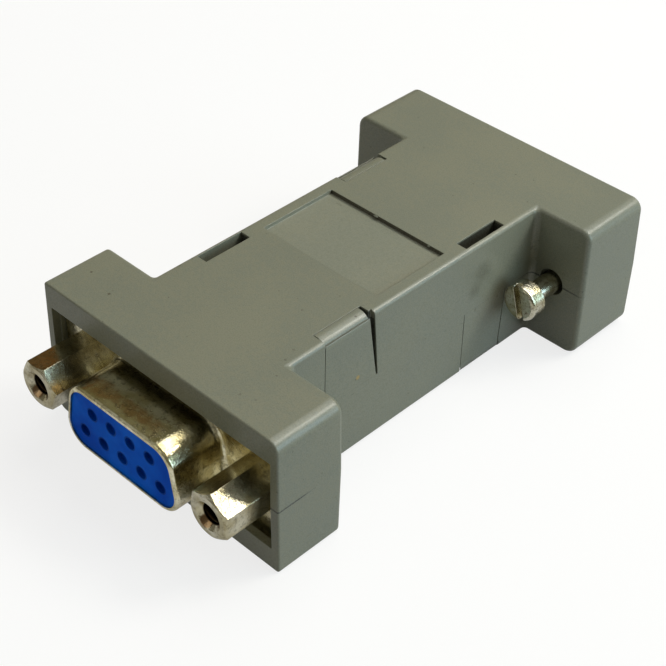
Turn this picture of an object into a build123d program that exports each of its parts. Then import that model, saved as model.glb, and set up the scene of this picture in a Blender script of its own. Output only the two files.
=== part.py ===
from build123d import *
from math import radians, tan, tau
import os

os.makedirs("parts", exist_ok=True)

# Hood: outer sizes
hood_length = 54.2
hood_height = 16.4
flange_side_cover = 1.295
front_flange_depth = 8.5
rear_flange_depth = 9.3
body_to_screw = 2.8
draft_angle = 0.7
front_left_edge_radius = 0.35
front_right_edge_radius = 1.3
rear_left_edge_radius = 1.5
rear_right_edge_radius = 1.3
body_edge_radius = 0.5
inner_corner_radius = 0.7
sharp_edge_radius = 0.2
mid_z = hood_height / 2

# Connectors: standard nine-way sizes
shell_flange_width = 30.81
shell_flange_height = 12.55
shell_flange_radius = 1.0
sheet_thickness = 0.5
flange_hole_radius = 1.525
flange_hole_margin = 2.905
side_angle = 80
shell_side_margin = 6.74
socket_shell_height = 7.9
socket_shell_reach = 6.1
mating_play_width = 1.45
mating_play_height = 1.36
pin_shell_reach = 5.9
shell_corner_radius = 2.6
shell_wall = 0.45
shell_root_radius = 0.7
shell_lip_radius = 0.35
back_shell_margin = 5.765
back_shell_height = 10.72
back_shell_radius = 2.0
back_shell_length = 4.1
flange_recess = 1.4

# Contacts
contact_side_margin = 3.125
row_spacing = 2.84
barrel_radius = 0.78
barrel_clearance = 0.03
socket_hole_radius = 0.65
socket_hole_depth = 0.9
socket_bore_radius = 0.51
socket_bore_length = 5.0
pin_radius = 0.5
pin_reach = 5.4
pin_tip_radius = 0.35
insulator_clearance = 0.03
socket_insulator_inset = 0.2
pin_insulator_reach = 0.4
back_insulator_length = 4.2
cup_length = 3.2
cup_bore_radius = 0.5
cup_bore_length = 2.4
cup_opening_length = 1.8
wire_radius = 0.6
conductor_radius = 0.4
conductor_in_cup = 2.0
wire_gap = 0.1

# Jack posts and their nuts
post_across_flats = 4.76
post_reach = 6.2
post_face_chamfer = 0.3
thread_radius = 1.42
tapped_radius = 1.13
tapped_depth = 5.0
countersink_radius = 1.65
stud_length = 3.8
nut_across_flats = 4.76
nut_thickness = 2.4
nut_clearance = 0.01
left_post_turn = 8
right_post_turn = 26

# Jackscrews, drawn pulled out to their stops
screw_head_radius = 2.1
screw_head_length = 1.9
screw_head_stand = 3.65
screw_head_round = 0.4
slot_width = 0.8
slot_depth = 0.9
left_slot_turn = 40
right_slot_turn = 15
collar_radius = 1.4
collar_length = 0.6
neck_radius = 1.2
groove_radius = 0.95
groove_width = 0.9
screw_tip_reach = 1.5
screw_thread_length = 5.6
tip_chamfer = 0.35
ring_radius = 2.4
ring_thickness = 0.8
ring_fit = 0.05
ring_mouth = 1.5
screw_hole_radius = 1.55
screw_wall_gap = 0.1

# Hood: walls and inner spaces
top_wall = 1.6
side_wall = 1.9
flange_lip = 0.9
window_side_play = 0.295
window_height = 10.9
groove_clearance = 0.15
groove_length = 1.6
chamber_side_step = 0.5
partition = 1.8

# Hood: label recess, snap tongues and the openings above them
label_side_margin = 1.7
label_start = 21.85
label_length = 10.0
label_depth = 0.45
tongue_thickness = 0.6
tongue_fit = 0.08
tongue_edge_radius = 1.2
tongue_near_flare = 0.1
tongue_near_gap = 0.08
catch_length = 1.7
catch_thickness = 0.8
catch_fit = 0.05
front_tongue_start = 13.2
front_tongue_length = 6.0
front_tongue_flare = 1.15
front_notch_gap = 0.75
front_notch_flare = 0.65
front_catch_gap = 0.4
rear_tongue_start = 34.05
rear_tongue_length = 6.1
rear_tongue_flare = 0.3
rear_notch_gap = 0.12
rear_catch_gap = 0.35
front_slot_start = 13.7
rear_slot_start = 34.05
slot_length = 6.0
slot_opening_width = 1.32

# Widths that follow the connector flange
hole_spacing = shell_flange_width - 2 * flange_hole_margin
socket_shell_width = shell_flange_width - 2 * shell_side_margin
contact_pitch = (socket_shell_width / 2 - contact_side_margin) / 2
pin_shell_width = socket_shell_width + mating_play_width
pin_shell_height = socket_shell_height + mating_play_height
back_shell_width = shell_flange_width - 2 * back_shell_margin
window_width = shell_flange_width + 2 * window_side_play
chamber_width = window_width - 2 * chamber_side_step
flange_width = shell_flange_width + 2 * flange_side_cover
body_width = hole_spacing - 2 * body_to_screw
label_width = body_width - 2 * label_side_margin

# Places along the length: the origin is under the middle of the whole adapter
front_stand = post_reach - flange_recess
rear_stand = pin_shell_reach - flange_recess
adapter_length = front_stand + hood_length + rear_stand
front_y = front_stand - adapter_length / 2
rear_y = front_y + hood_length
screw_wall_y = rear_y - rear_flange_depth
post_x = hole_spacing / 2
body_half = body_width / 2


def front_plane(depth):
    return Plane(origin=(0, front_y + depth, mid_z), x_dir=(1, 0, 0), z_dir=(0, -1, 0))


def rear_plane(depth):
    return Plane(origin=(0, rear_y - depth, mid_z), x_dir=(-1, 0, 0), z_dir=(0, 1, 0))


def left_plane(depth):
    return Plane(origin=(-depth, front_y, mid_z), x_dir=(0, 1, 0), z_dir=(-1, 0, 0))


def right_plane(depth):
    return Plane(origin=(depth, front_y, mid_z), x_dir=(0, 1, 0), z_dir=(1, 0, 0))


def tongue_outline(start, length, flare, tip, near_gap=0, far_gap=0):
    near = start - near_gap
    far = start + length + far_gap
    with BuildLine() as outline:
        Polyline(
            (near - tongue_near_flare, 0),
            (far + flare, 0),
            (far, tip),
            (near, tip),
            close=True,
        )
    return outline.line


def box_at(x_low, x_high, y_low, y_high, z_low, z_high, mode=Mode.ADD):
    centre = ((x_low + x_high) / 2, (y_low + y_high) / 2, (z_low + z_high) / 2)
    with Locations(centre):
        Box(x_high - x_low, y_high - y_low, z_high - z_low, mode=mode)


# Outer block of one hood half: two end flanges and the body between them
def flange_block(y_low, depth, left_radius, right_radius, wall_end):
    with BuildPart() as block:
        with BuildSketch(Plane.XY.offset(mid_z)):
            with Locations((0, y_low)):
                Rectangle(flange_width, depth, align=(Align.CENTER, Align.MIN))
        extrude(amount=mid_z, taper=draft_angle)
        top_lines = block.edges().group_by(Axis.Z)[-1].filter_by(Axis.Y).sort_by(Axis.X)
        fillet(top_lines[-1], right_radius)
        top_lines = block.edges().group_by(Axis.Z)[-1].filter_by(Axis.Y).sort_by(Axis.X)
        fillet(top_lines[0], left_radius)
        # the edge beside the body has the same round as the body, so the two rounds meet cleanly
        for end, radius in ((wall_end, body_edge_radius), (-1 - wall_end, sharp_edge_radius)):
            outline = block.faces().sort_by(Axis.Y)[end].edges()
            fillet(outline.filter_by(lambda e: e.center().Z > mid_z + 0.1), radius)
    return block.part


with BuildPart() as half_block:
    with BuildSketch(Plane.XY.offset(mid_z)):
        with Locations((0, front_y + front_flange_depth / 2)):
            Rectangle(body_width, hood_length - rear_flange_depth, align=(Align.CENTER, Align.MIN))
    extrude(amount=mid_z, taper=draft_angle)
    fillet(half_block.edges().group_by(Axis.Z)[-1].filter_by(Axis.Y), body_edge_radius)
    add(flange_block(front_y, front_flange_depth,
                     front_left_edge_radius, front_right_edge_radius, -1))
    add(flange_block(screw_wall_y, rear_flange_depth,
                     rear_left_edge_radius, rear_right_edge_radius, 0))
    uprights = half_block.edges().filter_by(lambda e: 1 < abs(e.center().X) < body_half + 0.3)
    inner_corners = uprights.filter_by(lambda e: e.bounding_box().size.Z > mid_z - 1.5)
    fillet(inner_corners, inner_corner_radius)

# The same block turned over, to shape the tongues that reach down over the other half
with BuildPart() as turned_block:
    with Locations((0, 0, hood_height)):
        add(half_block.part, rotation=(0, 180, 0))

# Snap tongues of the upper half: front left and rear right, each with a catch at its end
tongue_inner = body_half - tongue_thickness
catch_inner = body_half - catch_length
bend_half = body_half - mid_z * tan(radians(draft_angle))

with BuildPart() as tongue_pair:
    with BuildSketch(left_plane(tongue_inner)):
        with BuildLine():
            add(tongue_outline(front_tongue_start, front_tongue_length, front_tongue_flare, mid_z))
        make_face()
    extrude(amount=2 * tongue_thickness)
    with BuildSketch(right_plane(tongue_inner)):
        with BuildLine():
            add(tongue_outline(rear_tongue_start, rear_tongue_length, rear_tongue_flare, -mid_z))
        make_face()
    extrude(amount=2 * tongue_thickness)
    front_end = front_y + front_tongue_start + front_tongue_length
    rear_end = front_y + rear_tongue_start + rear_tongue_length
    box_at(-body_half, -catch_inner, front_y + front_tongue_start, front_end, 0, catch_thickness)
    box_at(catch_inner, body_half, front_y + rear_tongue_start, rear_end, 0, catch_thickness)
    add(turned_block.part, mode=Mode.INTERSECT)
    # the bend of each tongue is rounder than the edge of the body beside it
    with BuildSketch(front_plane(0)):
        for side in (-1, 1):
            with Locations((side * (bend_half - tongue_edge_radius / 2), tongue_edge_radius / 2 - mid_z)):
                Rectangle(tongue_edge_radius, tongue_edge_radius)
            with Locations((side * (bend_half - tongue_edge_radius), tongue_edge_radius - mid_z)):
                Circle(tongue_edge_radius, mode=Mode.SUBTRACT)
    extrude(amount=-hood_length, mode=Mode.SUBTRACT)

# Upper half of the hood
chamber_half = chamber_width / 2
window_half = window_height / 2
groove_half = shell_flange_height / 2 + groove_clearance
groove_side = shell_flange_width / 2 + groove_clearance
slot_low = tongue_inner - slot_opening_width
channel_half = body_half - side_wall
catch_floor = hood_height - catch_thickness - catch_fit
front_chamber_end = front_y + front_flange_depth - partition
rear_chamber_end = screw_wall_y + partition

with BuildPart() as upper_shell:
    add(half_block.part)
    # openings, grooves that hold the connector flanges, and the spaces behind them
    for end_y, inward, chamber_end in ((front_y, 1, front_chamber_end), (rear_y, -1, rear_chamber_end)):
        lip_y = end_y + inward * flange_lip
        groove_y = lip_y + inward * groove_length
        box_at(-window_width / 2, window_width / 2, *sorted((end_y - inward, lip_y)),
               mid_z, mid_z + window_half, mode=Mode.SUBTRACT)
        box_at(-groove_side, groove_side, *sorted((lip_y, groove_y)),
               mid_z, mid_z + groove_half, mode=Mode.SUBTRACT)
        box_at(-chamber_half, chamber_half, *sorted((groove_y, chamber_end)),
               mid_z, mid_z + window_half, mode=Mode.SUBTRACT)
    box_at(-channel_half, channel_half, front_chamber_end, rear_chamber_end,
           mid_z, hood_height - top_wall, mode=Mode.SUBTRACT)
    # label recess
    with Locations((0, front_y + label_start, hood_height - label_depth)):
        Box(label_width, label_length, 2 * label_depth,
            align=(Align.CENTER, Align.MIN, Align.MIN), mode=Mode.SUBTRACT)
    # openings above the half's own tongues
    box_at(-tongue_inner, -slot_low, front_y + front_slot_start, front_y + front_slot_start + slot_length,
           mid_z, hood_height + 1, mode=Mode.SUBTRACT)
    box_at(slot_low, tongue_inner, front_y + rear_slot_start, front_y + rear_slot_start + slot_length,
           mid_z, hood_height + 1, mode=Mode.SUBTRACT)
    # notches for the other half's tongues: front right and rear left
    with BuildSketch(right_plane(tongue_inner - tongue_fit)):
        with BuildLine():
            add(tongue_outline(front_tongue_start, front_tongue_length, front_notch_flare, mid_z,
                               tongue_near_gap, front_notch_gap))
        make_face()
    extrude(amount=2 * tongue_thickness, mode=Mode.SUBTRACT)
    with BuildSketch(left_plane(tongue_inner - tongue_fit)):
        with BuildLine():
            add(tongue_outline(rear_tongue_start, rear_tongue_length, rear_tongue_flare, -mid_z,
                               tongue_near_gap, rear_notch_gap))
        make_face()
    extrude(amount=2 * tongue_thickness, mode=Mode.SUBTRACT)
    box_at(catch_inner - catch_fit, body_half + 1, front_y + front_tongue_start - tongue_near_gap,
           front_end + front_catch_gap, catch_floor, hood_height + 1, mode=Mode.SUBTRACT)
    box_at(-body_half - 1, catch_fit - catch_inner, front_y + rear_tongue_start - tongue_near_gap,
           rear_end + rear_catch_gap, catch_floor, hood_height + 1, mode=Mode.SUBTRACT)
    # half holes for the jackscrews
    with Locations((-post_x, screw_wall_y, mid_z), (post_x, screw_wall_y, mid_z)):
        Cylinder(screw_hole_radius, 2 * partition + 1, rotation=(90, 0, 0), mode=Mode.SUBTRACT)
    add(tongue_pair.part)
upper_shell.part.label = "upper_shell"
export_step(upper_shell.part, "parts/upper_shell.step")

# Lower half: the same moulding turned over
with BuildPart() as lower_shell:
    with Locations((0, 0, hood_height)):
        add(upper_shell.part, rotation=(0, 180, 0))
lower_shell.part.label = "lower_shell"
export_step(lower_shell.part, "parts/lower_shell.step")


# Drawn metal shells of the two connectors
def front_shell(face, width, height, reach):
    back = face.offset(-sheet_thickness)
    with BuildPart() as shell:
        with BuildSketch(back):
            RectangleRounded(shell_flange_width, shell_flange_height, shell_flange_radius)
        extrude(amount=sheet_thickness)
        with BuildSketch(face) as outline:
            Trapezoid(width, height, side_angle)
            fillet(outline.vertices(), shell_corner_radius)
        extrude(amount=reach)
        root = shell.edges().filter_by(lambda e: abs(face.to_local_coords(e.center()).Z) < 0.01)
        near_middle = root.filter_by(lambda e: abs(e.center().X) < width / 2)
        inner = near_middle.filter_by(lambda e: abs(e.center().Z - mid_z) < (height + shell_flange_height) / 4)
        fillet(inner, shell_root_radius)
        tip = shell.edges().filter_by(lambda e: abs(face.to_local_coords(e.center()).Z - reach) < 0.01)
        fillet(tip, shell_lip_radius)
        with BuildSketch(back) as hollow:
            Trapezoid(width, height, side_angle)
            fillet(hollow.vertices(), shell_corner_radius)
            offset(amount=-shell_wall, mode=Mode.REPLACE)
        extrude(amount=reach + 2 * sheet_thickness, mode=Mode.SUBTRACT)
        with BuildSketch(back):
            with Locations((-post_x, 0), (post_x, 0)):
                Circle(flange_hole_radius)
        extrude(amount=sheet_thickness, mode=Mode.SUBTRACT)
    return shell.part


def back_shell(face):
    front = face.offset(-sheet_thickness)
    back = face.offset(-2 * sheet_thickness)
    with BuildPart() as shell:
        with BuildSketch(front):
            RectangleRounded(shell_flange_width, shell_flange_height, shell_flange_radius)
        extrude(amount=-sheet_thickness)
        with BuildSketch(back):
            RectangleRounded(back_shell_width, back_shell_height, back_shell_radius)
        extrude(amount=-back_shell_length)
        with BuildSketch(front):
            RectangleRounded(back_shell_width - 2 * shell_wall, back_shell_height - 2 * shell_wall,
                             back_shell_radius - shell_wall)
        extrude(amount=-sheet_thickness - back_shell_length, mode=Mode.SUBTRACT)
        with BuildSketch(front):
            with Locations((-post_x, 0), (post_x, 0)):
                Circle(flange_hole_radius)
        extrude(amount=-sheet_thickness, mode=Mode.SUBTRACT)
    return shell.part


socket_face = front_plane(flange_recess)
pin_face = rear_plane(flange_recess)

female_front_shell = front_shell(socket_face, socket_shell_width, socket_shell_height, socket_shell_reach)
female_front_shell.label = "female_front_shell"
export_step(female_front_shell, "parts/female_front_shell.step")

female_back_shell = back_shell(socket_face)
female_back_shell.label = "female_back_shell"
export_step(female_back_shell, "parts/female_back_shell.step")

male_front_shell = front_shell(pin_face, pin_shell_width, pin_shell_height, pin_shell_reach)
male_front_shell.label = "male_front_shell"
export_step(male_front_shell, "parts/male_front_shell.step")

male_back_shell = back_shell(pin_face)
male_back_shell.label = "male_back_shell"
export_step(male_back_shell, "parts/male_back_shell.step")

# Insulators
back_depth = 2 * sheet_thickness
insulator_end = back_depth + back_insulator_length
cup_end = insulator_end + cup_length
barrel_front = socket_shell_reach - socket_insulator_inset - socket_hole_depth
bore_radius = barrel_radius + barrel_clearance
wide_row = [(column * contact_pitch, -row_spacing / 2) for column in (-2, -1, 0, 1, 2)]
narrow_row = [(column * contact_pitch, row_spacing / 2) for column in (-1.5, -0.5, 0.5, 1.5)]
contact_places = wide_row + narrow_row


def front_insulator(face, width, height, reach, hole_radius, hole_depth):
    with BuildPart() as insulator:
        with BuildSketch(face.offset(reach)) as outline:
            Trapezoid(width, height, side_angle)
            fillet(outline.vertices(), shell_corner_radius)
            offset(amount=-shell_wall - insulator_clearance, mode=Mode.REPLACE)
        extrude(amount=-reach - back_depth)
        with BuildSketch(face.offset(reach)):
            with Locations(contact_places):
                Circle(hole_radius)
        extrude(amount=-hole_depth, mode=Mode.SUBTRACT)
        with BuildSketch(face.offset(reach - hole_depth)):
            with Locations(contact_places):
                Circle(bore_radius)
        extrude(amount=hole_depth - reach - back_depth, mode=Mode.SUBTRACT)
    return insulator.part


def back_insulator(face):
    inner_width = back_shell_width - 2 * shell_wall - 2 * insulator_clearance
    inner_height = back_shell_height - 2 * shell_wall - 2 * insulator_clearance
    with BuildPart() as insulator:
        with BuildSketch(face.offset(-back_depth)):
            RectangleRounded(inner_width, inner_height, back_shell_radius - shell_wall)
            with Locations(contact_places):
                Circle(bore_radius, mode=Mode.SUBTRACT)
        extrude(amount=-back_insulator_length)
    return insulator.part


female_front_insulator = front_insulator(
    socket_face, socket_shell_width, socket_shell_height,
    socket_shell_reach - socket_insulator_inset, socket_hole_radius, socket_hole_depth)
female_front_insulator.label = "female_front_insulator"
export_step(female_front_insulator, "parts/female_front_insulator.step")

female_back_insulator = back_insulator(socket_face)
female_back_insulator.label = "female_back_insulator"
export_step(female_back_insulator, "parts/female_back_insulator.step")

male_front_insulator = front_insulator(
    pin_face, pin_shell_width, pin_shell_height,
    pin_insulator_reach, pin_radius + barrel_clearance, pin_insulator_reach)
male_front_insulator.label = "male_front_insulator"
export_step(male_front_insulator, "parts/male_front_insulator.step")

male_back_insulator = back_insulator(pin_face)
male_back_insulator.label = "male_back_insulator"
export_step(male_back_insulator, "parts/male_back_insulator.step")


# Contacts: a barrel through both insulators with a solder cup at its inner end
for number, place in enumerate(contact_places, 1):
    with BuildPart() as socket_contact:
        with BuildSketch(socket_face.offset(barrel_front)):
            with Locations(place):
                Circle(barrel_radius)
        extrude(amount=-barrel_front - cup_end)
        with BuildSketch(socket_face.offset(barrel_front)):
            with Locations(place):
                Circle(socket_bore_radius)
        extrude(amount=-socket_bore_length, mode=Mode.SUBTRACT)
        with BuildSketch(socket_face.offset(-cup_end)):
            with Locations(place):
                Circle(cup_bore_radius)
        extrude(amount=cup_bore_length, mode=Mode.SUBTRACT)
        with BuildSketch(socket_face.offset(-cup_end)):
            with Locations((place[0], place[1] + barrel_radius)):
                Rectangle(2 * barrel_radius, 2 * barrel_radius)
        extrude(amount=cup_opening_length, mode=Mode.SUBTRACT)
    socket_contact.part.label = f"socket_contact_{number}"
    export_step(socket_contact.part, f"parts/socket_contact_{number}.step")

    pin_place = (-place[0], place[1])
    with BuildPart() as pin_contact:
        with BuildSketch(pin_face):
            with Locations(pin_place):
                Circle(barrel_radius)
        extrude(amount=-cup_end)
        with BuildSketch(pin_face):
            with Locations(pin_place):
                Circle(pin_radius)
        extrude(amount=pin_reach)
        fillet(pin_contact.edges().sort_by(Axis.Y)[-1], pin_tip_radius)
        with BuildSketch(pin_face.offset(-cup_end)):
            with Locations(pin_place):
                Circle(cup_bore_radius)
        extrude(amount=cup_bore_length, mode=Mode.SUBTRACT)
        with BuildSketch(pin_face.offset(-cup_end)):
            with Locations((pin_place[0], pin_place[1] + barrel_radius)):
                Rectangle(2 * barrel_radius, 2 * barrel_radius)
        extrude(amount=cup_opening_length, mode=Mode.SUBTRACT)
    pin_contact.part.label = f"pin_contact_{number}"
    export_step(pin_contact.part, f"parts/pin_contact_{number}.step")

    # one straight wire from cup to cup, bared where it lies in them
    wire_low = front_y + flange_recess + cup_end + wire_gap
    wire_high = rear_y - flange_recess - cup_end - wire_gap
    bared = conductor_in_cup + wire_gap
    with BuildPart() as wire:
        with Locations((place[0], (wire_low + wire_high) / 2, mid_z + place[1])):
            Cylinder(wire_radius, wire_high - wire_low, rotation=(90, 0, 0))
            Cylinder(conductor_radius, wire_high - wire_low + 2 * bared, rotation=(90, 0, 0))
    wire.part.label = f"wire_{number}"
    export_step(wire.part, f"parts/wire_{number}.step")

# Jack posts and nuts on the socket connector
root_three = 3**0.5
corner_radius = post_across_flats / root_three
for side, post_turn, post_label in ((-1, left_post_turn, "left"), (1, right_post_turn, "right")):
    with BuildPart() as post_blank:
        with BuildSketch(socket_face):
            with Locations((side * post_x, 0)):
                Circle(corner_radius)
        extrude(amount=post_reach)
        post_front = post_blank.edges().sort_by(Axis.Y)[0]
        chamfer(post_front, post_face_chamfer, post_face_chamfer * root_three)
    with BuildPart() as jack_post:
        with BuildSketch(socket_face):
            with Locations((side * post_x, 0)):
                RegularPolygon(post_across_flats / 2, 6, major_radius=False, rotation=post_turn)
        extrude(amount=post_reach)
        add(post_blank.part, mode=Mode.INTERSECT)
        with BuildSketch(socket_face):
            with Locations((side * post_x, 0)):
                Circle(thread_radius)
        extrude(amount=-stud_length)
        with BuildSketch(socket_face.offset(post_reach)):
            with Locations((side * post_x, 0)):
                Circle(tapped_radius)
        extrude(amount=-tapped_depth, mode=Mode.SUBTRACT)
        bore_rims = jack_post.edges().filter_by(lambda e: e.length < tau * thread_radius)
        chamfer(bore_rims.filter_by(GeomType.CIRCLE).sort_by(Axis.Y)[0], countersink_radius - tapped_radius)
    jack_post.part.label = f"{post_label}_jack_post"
    export_step(jack_post.part, f"parts/{post_label}_jack_post.step")

    with BuildPart() as jack_nut:
        with BuildSketch(socket_face.offset(-back_depth)):
            with Locations((side * post_x, 0)):
                RegularPolygon(nut_across_flats / 2, 6, major_radius=False, rotation=30)
                Circle(thread_radius + nut_clearance, mode=Mode.SUBTRACT)
        extrude(amount=-nut_thickness)
    jack_nut.part.label = f"{post_label}_jack_nut"
    export_step(jack_nut.part, f"parts/{post_label}_jack_nut.step")

# Captive jackscrews and their retaining rings on the pin connector
head_front = -screw_head_stand - screw_head_length
collar_end = collar_length - screw_head_stand
ring_start = partition + screw_wall_gap
groove_start = ring_start - (groove_width - ring_thickness) / 2
screw_tip = rear_flange_depth - flange_recess + screw_tip_reach
thread_start = screw_tip - screw_thread_length
for side, slot_turn, screw_label in ((-1, left_slot_turn, "left"), (1, right_slot_turn, "right")):
    screw_plane = Plane(origin=(side * post_x, screw_wall_y, mid_z))
    head_plane = front_plane(screw_wall_y + head_front - front_y) * Location((side * post_x, 0, 0))
    ring_plane = front_plane(screw_wall_y + ring_start - front_y) * Location((side * post_x, 0, 0))
    with BuildPart() as jackscrew:
        with BuildSketch(screw_plane):
            with BuildLine():
                Polyline(
                    (0, head_front),
                    (screw_head_radius, head_front),
                    (screw_head_radius, -screw_head_stand),
                    (collar_radius, -screw_head_stand),
                    (collar_radius, collar_end),
                    (neck_radius, collar_end),
                    (neck_radius, groove_start),
                    (groove_radius, groove_start),
                    (groove_radius, groove_start + groove_width),
                    (neck_radius, groove_start + groove_width),
                    (neck_radius, thread_start),
                    (thread_radius, thread_start),
                    (thread_radius, screw_tip - tip_chamfer),
                    (thread_radius - tip_chamfer, screw_tip),
                    (0, screw_tip),
                    close=True,
                )
            make_face()
        revolve(axis=Axis((side * post_x, screw_wall_y, mid_z), (0, 1, 0)))
        fillet(jackscrew.edges().filter_by(GeomType.CIRCLE).group_by(Axis.Y)[0], screw_head_round)
        with BuildSketch(head_plane):
            Rectangle(slot_width, 3 * screw_head_radius, rotation=slot_turn)
        extrude(amount=-slot_depth, mode=Mode.SUBTRACT)
    jackscrew.part.label = f"{screw_label}_jackscrew"
    export_step(jackscrew.part, f"parts/{screw_label}_jackscrew.step")

    with BuildPart() as ring:
        with BuildSketch(ring_plane):
            Circle(ring_radius)
            Circle(groove_radius + ring_fit, mode=Mode.SUBTRACT)
            with Locations((0, -ring_radius / 2)):
                Rectangle(ring_mouth, ring_radius, mode=Mode.SUBTRACT)
        extrude(amount=-ring_thickness)
    ring.part.label = f"{screw_label}_retaining_ring"
    export_step(ring.part, f"parts/{screw_label}_retaining_ring.step")
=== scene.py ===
import math
import bmesh
import bpy
from mathutils import Matrix, Vector


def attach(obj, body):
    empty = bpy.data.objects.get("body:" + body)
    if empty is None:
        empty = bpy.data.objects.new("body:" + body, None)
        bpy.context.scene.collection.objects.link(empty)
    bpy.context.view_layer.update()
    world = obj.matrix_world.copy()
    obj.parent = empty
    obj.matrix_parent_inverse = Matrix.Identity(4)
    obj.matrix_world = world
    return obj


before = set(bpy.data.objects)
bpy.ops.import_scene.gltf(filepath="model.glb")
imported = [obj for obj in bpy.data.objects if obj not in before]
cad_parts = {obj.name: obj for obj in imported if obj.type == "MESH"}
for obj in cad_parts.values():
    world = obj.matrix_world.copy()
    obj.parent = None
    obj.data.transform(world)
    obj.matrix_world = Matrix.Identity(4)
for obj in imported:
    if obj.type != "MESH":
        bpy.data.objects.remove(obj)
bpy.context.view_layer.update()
print("frame loaded:", len(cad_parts), "nodes")

mm = 0.001


# A shader socket that Python can reckon with
class Link:
    def __init__(self, paint, socket):
        self.paint = paint
        self.socket = socket

    def maths(self, operation, first, second=0.0):
        return self.paint.node("Math", {"operation": operation}, {0: first, 1: second})

    def __add__(self, other):
        return self.maths("ADD", self, other)

    def __radd__(self, other):
        return self.maths("ADD", other, self)

    def __sub__(self, other):
        return self.maths("SUBTRACT", self, other)

    def __rsub__(self, other):
        return self.maths("SUBTRACT", other, self)

    def __mul__(self, other):
        return self.maths("MULTIPLY", self, other)

    def __rmul__(self, other):
        return self.maths("MULTIPLY", other, self)

    def __abs__(self):
        return self.maths("ABSOLUTE", self)

    def atMost(self, other):
        return self.maths("MINIMUM", self, other)

    def atLeast(self, other):
        return self.maths("MAXIMUM", self, other)


# A node tree that is painted on: a material's or the world's
class Paint:
    def __init__(self, owner):
        owner.use_nodes = True
        self.owner = owner
        self.tree = owner.node_tree
        self.tree.nodes.clear()

    def node(self, kind, settings=None, sockets=None, output=0):
        made = self.tree.nodes.new("ShaderNode" + kind)
        for name, value in (settings or {}).items():
            setattr(made, name, value)
        for name, value in (sockets or {}).items():
            if isinstance(value, Link):
                self.tree.links.new(value.socket, made.inputs[name])
            else:
                made.inputs[name].default_value = value
        return Link(self, made.outputs[output]) if made.outputs else None

    def place(self):
        return self.node("TexCoord", output="Object")

    def placeInMm(self):
        return self.node("VectorMath", {"operation": "SCALE"}, {0: self.place(), "Scale": 1 / mm})

    def split(self, vector):
        return [self.node("SeparateXYZ", sockets={0: vector}, output=axis) for axis in range(3)]

    def noise(self, vector, scale, detail=2.0, roughness=0.5):
        return self.node("TexNoise", sockets={"Vector": vector, "Scale": scale, "Detail": detail,
                                              "Roughness": roughness})

    def stretched(self, vector, stretch):
        return self.node("VectorMath", {"operation": "MULTIPLY"}, {0: vector, 1: stretch})

    # 0 below low, 1 above high, soft between
    def step(self, value, low, high):
        return self.node("MapRange", {"interpolation_type": "SMOOTHSTEP"},
                         {"Value": value, "From Min": low, "From Max": high})

    # 1 inside a round spot, 0 outside
    def spot(self, vector, centre, radius, softness=0.4):
        away = self.node("VectorMath", {"operation": "DISTANCE"}, {0: vector, 1: centre}, "Value")
        return 1 - self.step(away, radius * (1 - softness), radius)

    # several round spots at once: pairs of centre and radius
    def spots(self, vector, marks, softness=0.4):
        together = 0.0
        for centre, radius in marks:
            together = self.spot(vector, centre, radius, softness) + together
        return together.atMost(1)

    # 1 inside any of the boxes given by their low and high corners, 0 outside
    def boxes(self, vector, regions, soft):
        parts = self.split(vector)
        together = 0.0
        for low, high in regions:
            inside = 1.0
            for axis in range(3):
                inside = self.step(parts[axis], low[axis] - soft, low[axis]) * inside
                inside = (1 - self.step(parts[axis], high[axis], high[axis] + soft)) * inside
            together = inside + together
        return together.atMost(1)

    # 1 where a direction points the given way, 0 elsewhere
    def near(self, vector, way, low, high):
        aim = Vector(way).normalized()
        along = self.node("VectorMath", {"operation": "DOT_PRODUCT"}, {0: vector, 1: aim}, "Value")
        return self.step(along, low, high)

    def colour(self, value):
        return value if isinstance(value, Link) else (*value, 1)

    def blend(self, factor, first, second):
        sockets = {0: factor, 6: self.colour(first), 7: self.colour(second)}
        return self.node("Mix", {"data_type": "RGBA"}, sockets, 2)

    def blendWays(self, factor, first, second):
        return self.node("Mix", {"data_type": "VECTOR"}, {0: factor, 4: first, 5: second}, 1)

    # the surface's direction with its edges rounded off
    def rounded(self, radius):
        return self.node("Bevel", {"samples": 6}, {"Radius": radius})

    def flat(self):
        return self.node("NewGeometry", output="Normal")

    # how much an edge is rounded off here: 0 on a flat face
    def edge(self, radius):
        ways = {0: self.rounded(radius), 1: self.flat()}
        return 1 - self.node("VectorMath", {"operation": "DOT_PRODUCT"}, ways, "Value")

    def bump(self, strength, depth, height, normal=None):
        sockets = {"Strength": strength, "Distance": depth, "Height": height}
        if normal is not None:
            sockets["Normal"] = normal
        return self.node("Bump", sockets=sockets)

    def surface(self, sockets):
        shader = self.node("BsdfPrincipled", sockets=sockets)
        self.node("OutputMaterial", sockets={"Surface": shader})
        return self.owner


def newPaint(name):
    return Paint(bpy.data.materials.new(name))


def dress(names, material):
    for name in names:
        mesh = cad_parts[name].data
        mesh.materials.clear()
        mesh.materials.append(material)


# A new object of a finished form, with smooth faces
def pieceFrom(name, form, material):
    for face in form.faces:
        face.smooth = True
    mesh = bpy.data.meshes.new(name)
    form.to_mesh(mesh)
    form.free()
    mesh.materials.append(material)
    piece = bpy.data.objects.new(name, mesh)
    bpy.context.scene.collection.objects.link(piece)
    return piece


# The camera stands where the photo's camera stood
view = {
    "lens": 85.8,
    "sensor": 36,
    "nearest": 0.005,
    "farthest": 20,
    "place": (0.089776, -0.096335, 0.112163),
    "right": (0.71333, 0.70069, 0.01409),
    "up": (-0.45251, 0.44515, 0.77271),
    "back": (0.53515, -0.55757, 0.63461),
}


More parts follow.
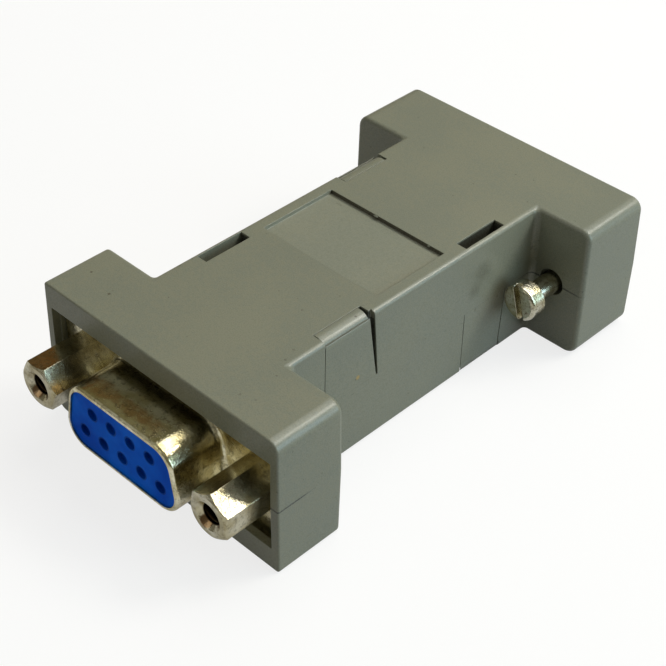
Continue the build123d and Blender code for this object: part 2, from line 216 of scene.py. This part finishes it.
def makeCamera():
    data = bpy.data.cameras.new("photoCamera")
    data.lens = view["lens"]
    data.sensor_width = view["sensor"]
    data.clip_start = view["nearest"]
    data.clip_end = view["farthest"]
    camera = bpy.data.objects.new("photoCamera", data)
    bpy.context.scene.collection.objects.link(camera)
    turn = Matrix((view["right"], view["up"], view["back"])).transposed()
    camera.matrix_world = Matrix.Translation(view["place"]) @ turn.to_4x4()
    bpy.context.scene.camera = camera


floor = {
    "size": 6.0,
    "squares": 8,
    "below": 0.05,           # mm under the object
    "colour": (0.40, 0.40, 0.39),
    "grainColour": (0.36, 0.36, 0.35),
    "grainScale": 900,
    "grainShare": 0.1,
    "seenColour": (0.93, 0.93, 0.92),
    "whiteShare": 0.78,      # how much of plain white the camera sees over the lit floor
    "mirroredShare": 0.32,   # the same for what shiny surfaces mirror
}


def floorMaterial():
    paint = newPaint("paleFloor")
    grain = paint.noise(paint.place(), floor["grainScale"], 2)
    colour = paint.blend(grain * floor["grainShare"], floor["colour"], floor["grainColour"])
    white = paint.node("Emission", sockets={"Color": (1, 1, 1, 1), "Strength": 1.0})
    straight = paint.node("LightPath", output="Is Camera Ray")
    colour = paint.blend(straight, colour, floor["seenColour"])
    seen = straight * floor["whiteShare"]
    seen = seen + paint.node("LightPath", output="Is Glossy Ray") * floor["mirroredShare"]
    seen = (seen + paint.node("LightPath", output="Is Transmission Ray")).atMost(1)
    lit = paint.node("BsdfDiffuse", sockets={"Color": colour})
    both = paint.node("MixShader", sockets={0: seen, 1: lit, 2: white})
    paint.node("OutputMaterial", sockets={"Surface": both})
    return paint.owner


def makeFloor():
    mesh = bpy.data.meshes.new("paleFloor")
    form = bmesh.new()
    squares = floor["squares"]
    bmesh.ops.create_grid(form, x_segments=squares, y_segments=squares, size=floor["size"] / 2)
    form.to_mesh(mesh)
    form.free()
    sheet = bpy.data.objects.new("paleFloor", mesh)
    sheet.location.z = -floor["below"] * mm
    bpy.context.scene.collection.objects.link(sheet)
    mesh.materials.append(floorMaterial())


# Soft lamps: the way to each from the object, how far off and how wide, in metres
lamps = {
    "key": {"way": (0.39, 0.56, 0.73), "far": 0.42, "size": 0.14, "watts": 0.88,
            "colour": (1.0, 0.98, 0.90)},
    "top": {"way": (-0.05, 0.42, 0.90), "far": 0.60, "size": 0.40, "watts": 1.36,
            "colour": (1.0, 0.98, 0.92)},
    "side": {"way": (0.86, 0.40, 0.32), "far": 0.50, "size": 0.30, "watts": 1.06,
             "colour": (0.58, 0.84, 1.0)},
    "front": {"way": (-0.30, -0.85, 0.42), "far": 0.90, "size": 0.40, "watts": 0.52,
              "colour": (0.95, 1.0, 0.93)},
}


def makeLamps():
    for name, lamp in lamps.items():
        data = bpy.data.lights.new(name, "AREA")
        data.shape = "SQUARE"
        data.size = lamp["size"]
        data.energy = lamp["watts"]
        data.color = lamp["colour"]
        light = bpy.data.objects.new(name, data)
        bpy.context.scene.collection.objects.link(light)
        way = Vector(lamp["way"]).normalized()
        light.location = way * lamp["far"]
        light.rotation_euler = way.to_track_quat("Z", "Y").to_euler()


# The dim room around, which the bright metal shows
room = {
    "ceiling": (0.30, 0.30, 0.26),
    "wall": (0.15, 0.14, 0.11),
    "wallToCeiling": (0.2, 0.9),
    "olive": (0.125, 0.120, 0.064),
    "oliveWay": (-0.62, 0.56, 0.55),
    "oliveSpread": (0.70, 0.90),
    "brown": (0.12, 0.055, 0.015),
    "brownWay": (-0.72, 0.56, 0.38),
    "brownSpread": (0.955, 0.985),
    "strength": 1.0,
}


def makeRoom():
    world = bpy.data.worlds.new("studioRoom")
    bpy.context.scene.world = world
    paint = Paint(world)
    way = paint.node("TexCoord", output="Generated")
    rise = paint.split(way)[2]
    colour = paint.blend(paint.step(rise, *room["wallToCeiling"]), room["wall"], room["ceiling"])
    colour = paint.blend(paint.near(way, room["oliveWay"], *room["oliveSpread"]), colour, room["olive"])
    colour = paint.blend(paint.near(way, room["brownWay"], *room["brownSpread"]), colour, room["brown"])
    glow = paint.node("Background", sockets={"Color": colour, "Strength": room["strength"]})
    paint.node("OutputWorld", sockets={"Surface": glow})


# Grey moulded plastic of the hood: places and sizes in mm
hood = {
    "warmGrey": (0.197, 0.197, 0.143),
    "coolGrey": (0.176, 0.184, 0.142),
    "edgeGrey": (0.34, 0.35, 0.29),
    "seamGrey": (0.020, 0.019, 0.014),
    "speckBrown": (0.045, 0.032, 0.012),
    "speckAmber": (0.42, 0.26, 0.05),
    "recessShadeBrown": (0.040, 0.030, 0.016),
    "dark": (0.014, 0.013, 0.009),
    "roughness": 0.33,
    "refraction": 1.5,
    "cloudScale": 0.095,
    "mottleScale": 2.6,
    "poreScale": 7.5,
    "dustScale": 1.9,
    "height": 16.4,
    "edgeReach": 0.22,
    "edgeRound": 0.12,
    "bump": 0.30,
    "bumpDepth": 0.02,
    # how strongly each mark covers the grey
    "shares": {"edgeTint": 0.22, "specks": 0.8, "amber": 0.85, "dust": 0.4, "smudgesAndReflections": 0.30, "insides": 0.85,
               "recessShade": 0.85, "poresPale": 0.20, "poresDark": 0.15, "label": 0.16},
    "seamHeight": 8.2,
    "seamHalf": 0.06,
    "seamFaint": 0.12,       # how much of the parting line shows away from the places below
    "seamOpen": [((16.6, -26.2, 8.2), 4.4), ((12.8, 17.95, 8.2), 4.6)],
    "specks": [              # dirt caught in the surface: place and size
        ((-14.52, -22.5, 16.4), 0.20),
        ((-10.54, -23.51, 16.4), 0.24),
        ((8.75, -8.80, 16.38), 0.19),
        ((9.60, -9.52, 9.30), 0.20),
        ((6.02, 4.22, 16.4), 0.14),
        ((9.0, -13.4, 16.3), 0.12),
    ],
    "amber": ((9.60, -9.24, 9.40), 0.34),
    # dark patches on the side, with a painted reflection of the dark surroundings: place and size
    "smudgesAndReflections": [((9.6, 9.6, 12.6), 1.9), ((9.6, 12.4, 9.4), 1.7), ((9.6, 8.3, 10.6), 1.3)],
    "insides": [             # boxes that lie in shade: low and high corner
        ((-9.02, -13.30, 9.0), (-7.66, -7.20, 16.15)),
        ((7.66, 7.05, 9.0), (9.02, 13.15, 16.15)),
        ((8.00, -9.00, 8.0), (9.46, -6.00, 15.4)),
        ((7.90, -7.72, 15.3), (9.46, -7.10, 16.2)),
        ((-9.46, 6.90, 8.0), (-8.00, 13.70, 15.4)),
        ((-9.46, 13.18, 15.3), (-7.90, 13.44, 16.25)),
    ],
    "recessShade": [((-8.02, 4.86, 15.90), (8.02, 4.96, 16.33))],   # painted shade on the far wall of the label recess
    "label": [((-8.0, -5.1, 15.9), (8.0, 4.86, 16.2))],       # the recess's floor is a little paler
}


# The lower half is the upper one turned over about the length, with the same boxes
def bothHalves(regions):
    height = hood["height"]
    turned = [((-high[0], low[1], height - high[2]), (-low[0], high[1], height - low[2]))
              for low, high in regions]
    return regions + turned


def hoodMaterial():
    paint = newPaint("greyPlastic")
    shares = hood["shares"]
    place = paint.placeInMm()
    height = paint.split(place)[2]
    cloud = paint.noise(place, hood["cloudScale"], 3)
    mottle = paint.noise(place, hood["mottleScale"], 2)
    pores = paint.noise(place, hood["poreScale"], 1)
    tone = paint.step(cloud + (mottle - 0.5) * 0.9, 0.3, 0.7)
    colour = paint.blend(tone, hood["coolGrey"], hood["warmGrey"])
    # painted highlight along the rounded edges, together with some wear: they are lightened towards
    # edgeGrey
    edgeTint = paint.step(paint.edge(hood["edgeReach"] * mm) * (0.5 + cloud), 0.02, 0.35)
    colour = paint.blend(edgeTint * shares["edgeTint"], colour, hood["edgeGrey"])

    # fine parting line of the two halves, open in a few places only
    opened = paint.spots(place, hood["seamOpen"], 0.55)
    shows = (opened + hood["seamFaint"]).atMost(1)
    off = abs(height - hood["seamHeight"]) * (1 - opened * 0.4)
    seam = 1 - paint.step(off, hood["seamHalf"] * 0.4, hood["seamHalf"] * 1.4)
    colour = paint.blend(seam * shows, colour, hood["seamGrey"])

    # specks, dust, and smudges that also paint a reflection of the dark surroundings
    specks = paint.spots(place, hood["specks"], 0.7)
    colour = paint.blend(specks * shares["specks"], colour, hood["speckBrown"])
    amber = paint.spots(place, [hood["amber"]], 0.5)
    colour = paint.blend(amber * shares["amber"], colour, hood["speckAmber"])
    dust = paint.step(paint.noise(place, hood["dustScale"], 0), 0.835, 0.855)
    colour = paint.blend(dust * shares["dust"], colour, hood["speckBrown"])
    # painted reflection of the dark surroundings, which also makes the patches a little rougher
    smudgeAndReflection = paint.spots(place, hood["smudgesAndReflections"], 0.8)
    colour = paint.blend(smudgeAndReflection * shares["smudgesAndReflections"], colour, hood["speckBrown"])

    # painted shade in the openings and on the far wall of the label recess, pale floor of the label
    # recess, pores of the moulding
    insides = paint.boxes(place, bothHalves(hood["insides"]), 0.06)
    colour = paint.blend(insides * shares["insides"], colour, hood["dark"])
    # painted shade on the far wall of the label recess
    recessShade = paint.boxes(place, bothHalves(hood["recessShade"]), 0.03)
    colour = paint.blend(recessShade * shares["recessShade"], colour, hood["recessShadeBrown"])
    pale = paint.step(pores, 0.35, 0.75)
    colour = paint.blend(pale * shares["poresPale"], colour, hood["edgeGrey"])
    dents = 1 - paint.step(pores, 0.25, 0.45)
    colour = paint.blend(dents * shares["poresDark"], colour, hood["speckBrown"])
    label = paint.boxes(place, bothHalves(hood["label"]), 0.03)
    colour = paint.blend(label * shares["label"], colour, hood["edgeGrey"])

    rough = hood["roughness"] + (cloud - 0.5) * 0.14 + (mottle - 0.5) * 0.10 + smudgeAndReflection * 0.10
    grain = mottle * 0.6 + pores * 0.4
    closed = (1 - paint.step(off, 0.14, 0.2)) * (1 - shows)
    ways = paint.blendWays(closed, paint.rounded(hood["edgeRound"] * mm), paint.flat())
    bump = paint.bump(hood["bump"], hood["bumpDepth"] * mm, grain, ways)
    return paint.surface({"Base Color": colour, "Roughness": rough, "Normal": bump,
                          "IOR": hood["refraction"]})


# Bright plated metal: what the shells, posts, screws, rings and contacts share
plating = {
    "grainScale": 5.2,
    "dirtFiner": 2.7,        # times the scale of the patches
    "blotchFiner": 4.5,
    "edgeReach": 0.10,
    "wornShare": 0.7,
    "brownShare": 0.75,
    "rootShadeShare": 0.30,
    "reflectedArcShare": 0.8,
    "boreShadeShare": 0.92,
    "edgeRound": 0.08,
    "bumpDepth": 0.04,
    "leastRoughness": 0.08,
}


# A brown stretch along the front edge, and painted shade where the shell runs in under the rim
def brownBandAndRootShade(paint, place, look, colour, patches, dirt):
    across, lengthwise = paint.split(place)[:2]
    lengthwise = lengthwise + (patches - 0.5) * 1.6
    start, end = look["browned"]
    band = paint.step(lengthwise, start - 0.6, start) * (1 - paint.step(lengthwise, end - 0.6, end))
    band = band * (1 - paint.step(across, look["brownedTo"] - 1.5, look["brownedTo"]))
    brown = band * paint.step(dirt, 0.25, 0.60)
    colour = paint.blend(brown * plating["brownShare"], colour, look["brown"])
    # painted shade on the shell's top near its root, under the rim
    rootShade = paint.boxes(place, look["rootShade"], 0.7)
    return paint.blend(rootShade * plating["rootShadeShare"], colour, look["dirt"])


def platedMetal(name, look):
    paint = newPaint(name)
    place = paint.placeInMm()
    scale = look["patchScale"]
    patches = paint.noise(place, scale, 3)
    streaks = paint.noise(paint.stretched(place, look["streakStretch"]), look["streakScale"], 2)
    grain = paint.noise(place, plating["grainScale"], 2)
    dirt = paint.noise(place, scale * plating["dirtFiner"], 4, 0.65)
    colour = paint.blend(paint.step(patches, 0.35, 0.68), look["bright"], look["dull"])
    colour = paint.blend(paint.step(dirt, 0.52, 0.74) * look["dirtShare"], colour, look["dirt"])
    if "browned" in look:
        colour = brownBandAndRootShade(paint, place, look, colour, patches, dirt)
    blotch = paint.step(paint.noise(place, scale * plating["blotchFiner"], 3, 0.7), 0.50, 0.66)
    colour = paint.blend(blotch * look["blotchShare"], colour, look["dirt"])
    edgeTint = paint.step(paint.edge(plating["edgeReach"] * mm), 0.05, 0.35)
    colour = paint.blend(edgeTint * plating["wornShare"], colour, look["edge"])
    if "shadedBores" in look:
        # painted brown reflection on the lower side of each countersink
        reflectedArcs = paint.spots(place, look["reflectedArcs"], 0.3)
        colour = paint.blend(reflectedArcs * plating["reflectedArcShare"], colour, look["reflectedBrown"])
        # painted shade inside the tapped bores
        shadedBores = paint.boxes(place, look["shadedBores"], 0.1)
        colour = paint.blend(shadedBores * plating["boreShadeShare"], colour, look["boreShade"])
    rough = look["roughness"] + (patches - 0.5) * 0.18 + (streaks - 0.5) * 0.16 + (dirt - 0.5) * 0.2
    height = streaks * look["streakShare"] + grain * (1 - look["streakShare"])
    rounded = paint.rounded(plating["edgeRound"] * mm)
    bump = paint.bump(look["bump"], plating["bumpDepth"] * mm, height + blotch * 0.3, rounded)
    return paint.surface({"Base Color": colour, "Metallic": 1.0,
                          "Roughness": rough.atLeast(plating["leastRoughness"]), "Normal": bump})


sheetLook = {
    "bright": (0.92, 0.87, 0.66), "dull": (0.62, 0.54, 0.30), "edge": (0.88, 0.86, 0.76),
    "dirt": (0.10, 0.085, 0.035), "dirtShare": 0.30, "blotchShare": 0.50,
    "brown": (0.50, 0.28, 0.10), "browned": (-30.5, -28.8), "brownedTo": 4.8,
    # painted shade where the shell runs in under the rim: low and high corner
    "rootShade": [((-8.0, -27.2, 11.2), (6.5, -25.0, 13.2))],
    "roughness": 0.17, "patchScale": 0.45, "streakScale": 0.9, "streakStretch": (1.0, 0.12, 1.0),
    "streakShare": 0.35, "bump": 0.55,
}

postLook = {
    "bright": (0.70, 0.66, 0.51), "dull": (0.50, 0.44, 0.27), "edge": (0.86, 0.84, 0.74),
    "dirt": (0.10, 0.075, 0.03), "dirtShare": 0.4, "blotchShare": 0.35,
    # painted shade inside the tapped bores of the posts: low and high corner
    "shadedBores": [((-13.75, -31.22, 6.95), (-11.25, -26.0, 9.45)),
              ((11.25, -31.22, 6.95), (13.75, -26.0, 9.45))],
    "boreShade": (0.030, 0.016, 0.008),
    # painted brown reflection on the lower side of each countersink: place and radius
    "reflectedArcs": [((-13.0, -31.45, 7.1), 0.8), ((12.0, -31.45, 7.1), 0.8)],
    "reflectedBrown": (0.20, 0.085, 0.022),
    "roughness": 0.20, "patchScale": 0.55, "streakScale": 1.1, "streakStretch": (1.0, 0.10, 1.0),
    "streakShare": 0.6, "bump": 0.42,
}

screwLook = {
    "bright": (0.68, 0.66, 0.54), "dull": (0.45, 0.41, 0.26), "edge": (0.88, 0.86, 0.76),
    "dirt": (0.09, 0.05, 0.02), "dirtShare": 0.7, "blotchShare": 0.5,
    "roughness": 0.20, "patchScale": 0.75, "streakScale": 1.5, "streakStretch": (1.0, 6.0, 1.0),
    "streakShare": 0.5, "bump": 0.50,
}

ringLook = {
    "bright": (0.50, 0.50, 0.49), "dull": (0.33, 0.32, 0.30), "edge": (0.66, 0.66, 0.64),
    "dirt": (0.12, 0.11, 0.09), "dirtShare": 0.3, "blotchShare": 0.1,
    "roughness": 0.34, "patchScale": 0.5, "streakScale": 1.5, "streakStretch": (1.0, 1.0, 1.0),
    "streakShare": 0.4, "bump": 0.25,
}

contactLook = {
    "bright": (0.83, 0.64, 0.30), "dull": (0.60, 0.42, 0.17), "edge": (0.92, 0.78, 0.45),
    "dirt": (0.20, 0.12, 0.04), "dirtShare": 0.2, "blotchShare": 0.1,
    "roughness": 0.22, "patchScale": 0.7, "streakScale": 2.0, "streakStretch": (1.0, 0.15, 1.0),
    "streakShare": 0.5, "bump": 0.2,
}


# Threads: a ridge that winds along a bore or a screw, in mm
threads = {
    "pitch": 0.635,
    "steps": 40,             # per turn
    "footHalf": 0.28,        # half the ridge's width where it stands on the metal
    "crestHalf": 0.05,       # and at its crest
    "runOut": 0.125,         # share of its length over which it fades at each end
    "height": 8.2,
    "sides": {"left": -12.5, "right": 12.5},
    "bore": {"base": 1.14, "crest": 0.99, "start": -31.15, "end": -27.0, "slot": "nickel_post"},
    "screw": {"base": 1.41, "crest": 1.49, "start": 22.0, "end": 26.95, "slot": "nickel_screw"},
}


def makeThread(name, thread, middle, body, material):
    form = bmesh.new()
    length = thread["end"] - thread["start"]
    turns = length / threads["pitch"]
    count = int(turns * threads["steps"])
    foot, top, runOut = threads["footHalf"], threads["crestHalf"], threads["runOut"]
    base = thread["base"]
    last = None
    for number in range(count + 1):
        share = number / count
        angle = math.tau * turns * share
        away = thread["start"] + length * share
        swell = min(1, share / runOut, (1 - share) / runOut)
        crest = base + (thread["crest"] - base) * swell
        row = []
        for radius, along in ((base, -foot), (crest, -top), (crest, top), (base, foot)):
            spot = (middle[0] + radius * math.cos(angle), away + along,
                    middle[1] + radius * math.sin(angle))
            row.append(form.verts.new([value * mm for value in spot]))
        if last:
            for one in range(3):
                form.faces.new((last[one], last[one + 1], row[one + 1], row[one]))
        last = row
    bmesh.ops.recalc_face_normals(form, faces=form.faces)
    piece = pieceFrom(name, form, material)
    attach(piece, body)


# Two crumbs of moulding flash on the far edge of the label recess: place and reach in mm
flash = {
    "crumbs": [((-1.4, 4.80, 16.30), (0.30, 0.12, 0.08)), ((6.0, 4.83, 16.28), (0.16, 0.09, 0.09))],
    "raggedness": 0.16,
}


def makeFlash(material):
    for number, (place, reach) in enumerate(flash["crumbs"], 1):
        form = bmesh.new()
        bmesh.ops.create_icosphere(form, subdivisions=3, radius=1)
        for vert in form.verts:
            waves = math.sin(7 * vert.co.x + number) * math.cos(5 * vert.co.z)
            ragged = 1 + flash["raggedness"] * waves
            vert.co = [(place[axis] + vert.co[axis] * reach[axis] * ragged) * mm for axis in range(3)]
        crumb = pieceFrom("flashCrumb%d" % number, form, material)
        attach(crumb, "hood")


# Blue insulators
insulator = {
    "blue": (0.0, 0.15, 0.92),
    "deepBlue": (0.0, 0.09, 0.72),
    "rub": (0.02, 0.21, 0.80),
    "rubShare": 0.35,
    "roughness": 0.45,
    "specular": 0.04,
    "refraction": 1.5,
    "cloudScale": 260,
    "grainScale": 4200,
    "edgeReach": 0.10,
    "edgeRound": 0.06,
    "bump": 0.25,
    "bumpDepth": 0.02,
    "shade": (0.0, 0.03, 0.26),
    "shadeShare": 0.6,
    "holes": [               # the lead-in of each socket hole lies in shade: place and radius in mm
        ((x, -31.4, z), 0.86)
        for z, row in ((9.62, (-4.155, -1.385, 1.385, 4.155)), (6.78, (-5.54, -2.77, 0.0, 2.77, 5.54)))
        for x in row
    ],
}


def insulatorMaterial():
    paint = newPaint("bluePlastic")
    place = paint.place()
    cloud = paint.noise(place, insulator["cloudScale"], 3)
    grain = paint.noise(place, insulator["grainScale"], 2)
    colour = paint.blend(paint.step(cloud, 0.35, 0.7), insulator["blue"], insulator["deepBlue"])
    edgeTint = paint.step(paint.edge(insulator["edgeReach"] * mm), 0.02, 0.4)
    colour = paint.blend(edgeTint * insulator["rubShare"], colour, insulator["rub"])
    holes = paint.spots(paint.placeInMm(), insulator["holes"], 0.16)
    colour = paint.blend(holes * insulator["shadeShare"], colour, insulator["shade"])
    rough = insulator["roughness"] + (cloud - 0.5) * 0.2 + (grain - 0.5) * 0.08
    rounded = paint.rounded(insulator["edgeRound"] * mm)
    bump = paint.bump(insulator["bump"], insulator["bumpDepth"] * mm, grain, rounded)
    return paint.surface({"Base Color": colour, "Roughness": rough, "Normal": bump,
                          "IOR": insulator["refraction"], "Specular IOR Level": insulator["specular"]})


# Soft cover of the wires
wireCover = {
    "grey": (0.30, 0.30, 0.29),
    "dust": (0.42, 0.41, 0.38),
    "roughness": 0.5,
    "cloudScale": 500,
    "grainScale": 5000,
    "bump": 0.2,
    "bumpDepth": 0.02,
}


def wireMaterial():
    paint = newPaint("wireCover")
    place = paint.place()
    cloud = paint.noise(place, wireCover["cloudScale"], 2)
    grain = paint.noise(place, wireCover["grainScale"], 2)
    colour = paint.blend(paint.step(cloud, 0.4, 0.7), wireCover["grey"], wireCover["dust"])
    bump = paint.bump(wireCover["bump"], wireCover["bumpDepth"] * mm, grain)
    rough = wireCover["roughness"] + (cloud - 0.5) * 0.2
    return paint.surface({"Base Color": colour, "Roughness": rough, "Normal": bump})


# The whole scene, put together
makeCamera()
makeFloor()
makeLamps()
makeRoom()
print("camera, floor and light made")

grey = hoodMaterial()
plate = platedMetal("nickelSheet", sheetLook)
post = platedMetal("nickelPost", postLook)
screw = platedMetal("nickelScrew", screwLook)
steel = platedMetal("ringSteel", ringLook)
contact = platedMetal("contactMetal", contactLook)
blue = insulatorMaterial()
sides = threads["sides"]
numbers = range(1, 10)
dress(["upper_shell", "lower_shell"], grey)
dress(["female_front_shell", "female_back_shell", "male_front_shell", "male_back_shell"], plate)
dress(["female_front_insulator", "female_back_insulator"], blue)
dress(["male_front_insulator", "male_back_insulator"], blue)
dress([side + "_jack_post" for side in sides] + [side + "_jack_nut" for side in sides], post)
dress([side + "_jackscrew" for side in sides], screw)
dress([side + "_retaining_ring" for side in sides], steel)
dress(["socket_contact_%d" % number for number in numbers], contact)
dress(["pin_contact_%d" % number for number in numbers], contact)
dress(["wire_%d" % number for number in numbers], wireMaterial())
print("materials made")

for side, x in sides.items():
    middle = (x, threads["height"])
    makeThread(side + "PostThread", threads["bore"], middle, "hood", post)
    makeThread(side + "ScrewThread", threads["screw"], middle, side + "_screw", screw)
makeFlash(grey)
print("threads and flash made")

bpy.context.scene.view_settings.view_transform = "Standard"
